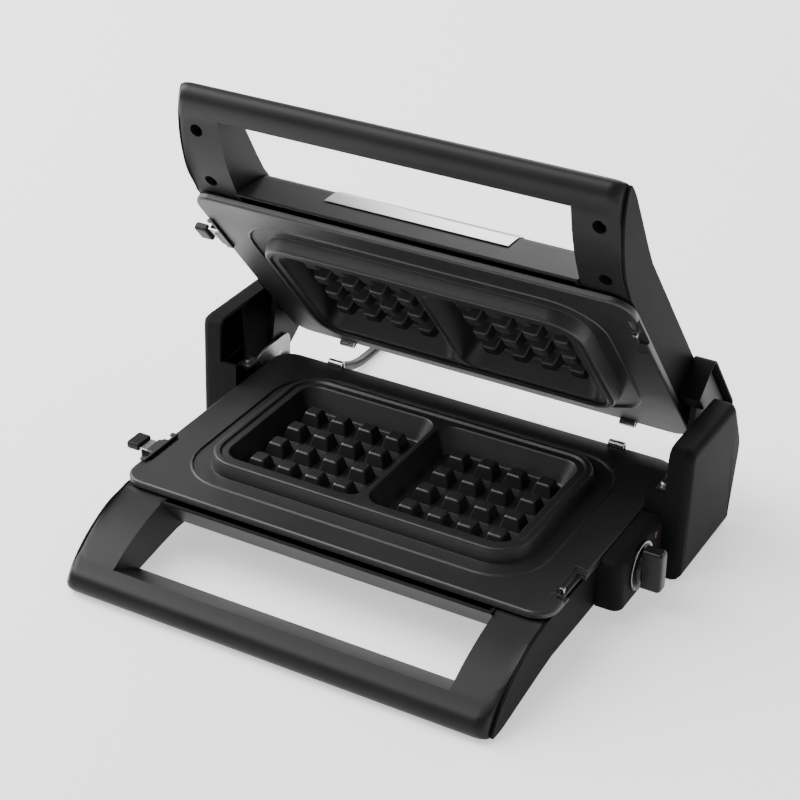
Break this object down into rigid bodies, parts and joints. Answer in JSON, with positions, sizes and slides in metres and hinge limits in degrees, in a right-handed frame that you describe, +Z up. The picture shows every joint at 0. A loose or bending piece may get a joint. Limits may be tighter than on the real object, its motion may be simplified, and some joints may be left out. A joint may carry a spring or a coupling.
{
  "type": "multi grill",
  "caption": "Countertop clamshell waffle grill: two carriers with handles and non-stick plates, joined by hinges in tall housings, with a side thermostat and a coiled cord.",
  "frame": {"origin": "on the table, under the middle of the grill with its lid as pictured", "axes": "+X to the grill's right, +Y to its back, +Z up"},
  "size_m": [0.3585, 0.484, 0.2835],
  "materials": {
    "black_plastic": "satin black moulded plastic with a fine grain",
    "gloss_plastic": "semi-gloss black moulded plastic",
    "nonstick": "cast aluminium with a satin black non-stick coating",
    "brushed_steel": "brushed along its width",
    "bright_steel": "zinc-plated steel",
    "pressed_steel": "plain pressed steel",
    "reflector_metal": "pressed aluminium sheet",
    "element_metal": "heat-tinted element sheath",
    "print_ring": "black dial ring with a thin white printed scale",
    "red_lens": "clear red indicator lens",
    "lamp_glass": "clear neon lamp glass",
    "ceramic": "unglazed ceramic thermostat body",
    "rubber": "matt black rubber",
    "cord_sheath": "smooth black sheath",
    "tie_strap": "woven black strap"
  },
  "bodies": {
    "base": {"base_shell": "black_plastic", "lower_handle_frame": "black_plastic", "lower_side_cover_left": "black_plastic", "lower_side_cover_right": "black_plastic", "lower_plate": "nonstick", "lower_reflector": "reflector_metal", "lower_heating_element": "element_metal", "lower_release_spring": "bright_steel", "lower_plate_clip_left": "bright_steel", "lower_plate_clip_right": "bright_steel", "control_box": "black_plastic", "thermostat": "ceramic", "dial_ring": "print_ring", "indicator_lens": "red_lens", "indicator_lamp": "lamp_glass", "hinge_housing_left": "black_plastic", "hinge_housing_right": "black_plastic", "hinge_bracket_left": "pressed_steel", "hinge_bracket_right": "pressed_steel", "housing_screw_left": "bright_steel", "housing_screw_right": "bright_steel", "hinge_pin_left": "bright_steel", "hinge_pin_right": "bright_steel", "foot_front_left": "rubber", "foot_front_right": "rubber", "foot_rear_left": "rubber", "foot_rear_right": "rubber", "strain_relief": "rubber", "power_cord": "cord_sheath", "power_cord_coil": "cord_sheath", "cord_tie": "tie_strap", "plug_body": "rubber", "plug_pin_near": "bright_steel", "plug_pin_far": "bright_steel"},
    "lid": {"lid_shell": "black_plastic", "lid_handle_frame": "black_plastic", "lid_side_cover_left": "black_plastic", "lid_side_cover_right": "black_plastic", "lid_top_panel": "brushed_steel", "upper_plate": "nonstick", "upper_reflector": "reflector_metal", "upper_heating_element": "element_metal", "upper_release_spring": "bright_steel", "upper_plate_clip_left": "bright_steel", "upper_plate_clip_right": "bright_steel", "lid_hinge_cover_left": "black_plastic", "lid_hinge_cover_right": "black_plastic", "lid_hinge_arm_left": "black_plastic", "lid_hinge_arm_right": "black_plastic", "handle_screw_left_outer": "bright_steel", "handle_screw_left_inner": "bright_steel", "handle_screw_right_outer": "bright_steel", "handle_screw_right_inner": "bright_steel"},
    "knob": {"thermostat_knob": "gloss_plastic", "thermostat_shaft": "bright_steel"},
    "lower_release": {"lower_latch": "bright_steel", "lower_release_button": "black_plastic"},
    "upper_release": {"upper_latch": "bright_steel", "upper_release_button": "black_plastic"}
  },
  "joints": [
    {"name": "lid_hinge", "type": "hinge", "parent": "base", "child": "lid", "pos_m": [0, 0.1012, 0.0427], "axis": [-1, 0, 0], "range_deg": [-51.6, 53.4]},
    {"name": "thermostat_turn", "type": "hinge", "parent": "base", "child": "knob", "pos_m": [0.1657, 0.0106, 0.02835], "axis": [1, 0, 0], "range_deg": [-135, 135]},
    {"name": "lower_release_press", "type": "slide", "parent": "base", "child": "lower_release", "axis": [1, 0, 0], "range_m": [0, 0.0035], "stiffness_N_per_m": 400, "springref_m": -0.004, "deforming": ["lower_release_spring"]},
    {"name": "upper_release_press", "type": "slide", "parent": "lid", "child": "upper_release", "axis": [1, 0, 0], "range_m": [0, 0.0035], "stiffness_N_per_m": 400, "springref_m": -0.004, "deforming": ["upper_release_spring"]}
  ]
}
